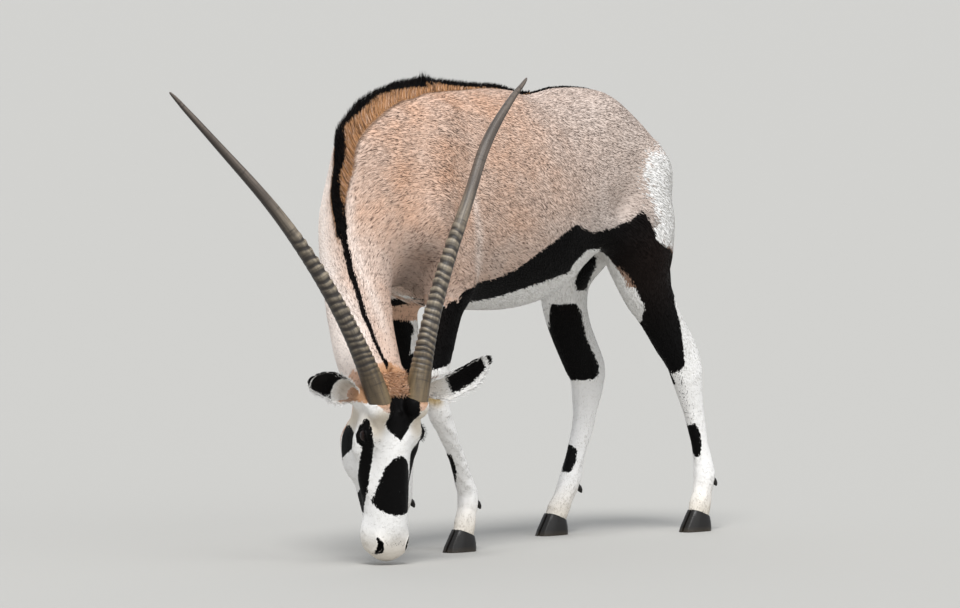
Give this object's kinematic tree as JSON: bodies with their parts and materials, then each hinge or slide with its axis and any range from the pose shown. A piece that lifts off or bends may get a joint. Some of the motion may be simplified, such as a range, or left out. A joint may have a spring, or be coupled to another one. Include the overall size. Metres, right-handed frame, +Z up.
{
  "type": "gemsbok figure",
  "caption": "Life-size grazing gemsbok antelope, head low to the ground, with long ringed horns, upright crest, tasselled tail and cloven hooves.",
  "frame": {"origin": "on the floor, in the middle of the box around the whole animal", "axes": "+Z up, the body faces -Y, the animal's left side is +X"},
  "size_m": [0.6048, 1.9172, 1.2056],
  "materials": {
    "coat": "short fur over skin, fawn with black and white markings",
    "horn": "ringed horn, satin towards the tips",
    "hoof": "dark hoof horn",
    "eye": "wet dark brown eye"
  },
  "bodies": {
    "root": {"ear_left": "coat", "ear_right": "coat", "eye_left": "eye", "eye_right": "eye", "foreleg_left": "coat", "foreleg_left_dewclaw_left": "hoof", "foreleg_left_dewclaw_right": "hoof", "foreleg_left_hoof_left": "hoof", "foreleg_left_hoof_right": "hoof", "foreleg_right": "coat", "foreleg_right_dewclaw_left": "hoof", "foreleg_right_dewclaw_right": "hoof", "foreleg_right_hoof_left": "hoof", "foreleg_right_hoof_right": "hoof", "head": "coat", "hindleg_left": "coat", "hindleg_left_dewclaw_left": "hoof", "hindleg_left_dewclaw_right": "hoof", "hindleg_left_hoof_left": "hoof", "hindleg_left_hoof_right": "hoof", "hindleg_right": "coat", "hindleg_right_dewclaw_left": "hoof", "hindleg_right_dewclaw_right": "hoof", "hindleg_right_hoof_left": "hoof", "hindleg_right_hoof_right": "hoof", "horn_left": "horn", "horn_right": "horn", "neck": "coat", "tail": "coat", "torso": "coat"}
  },
  "joints": []
}
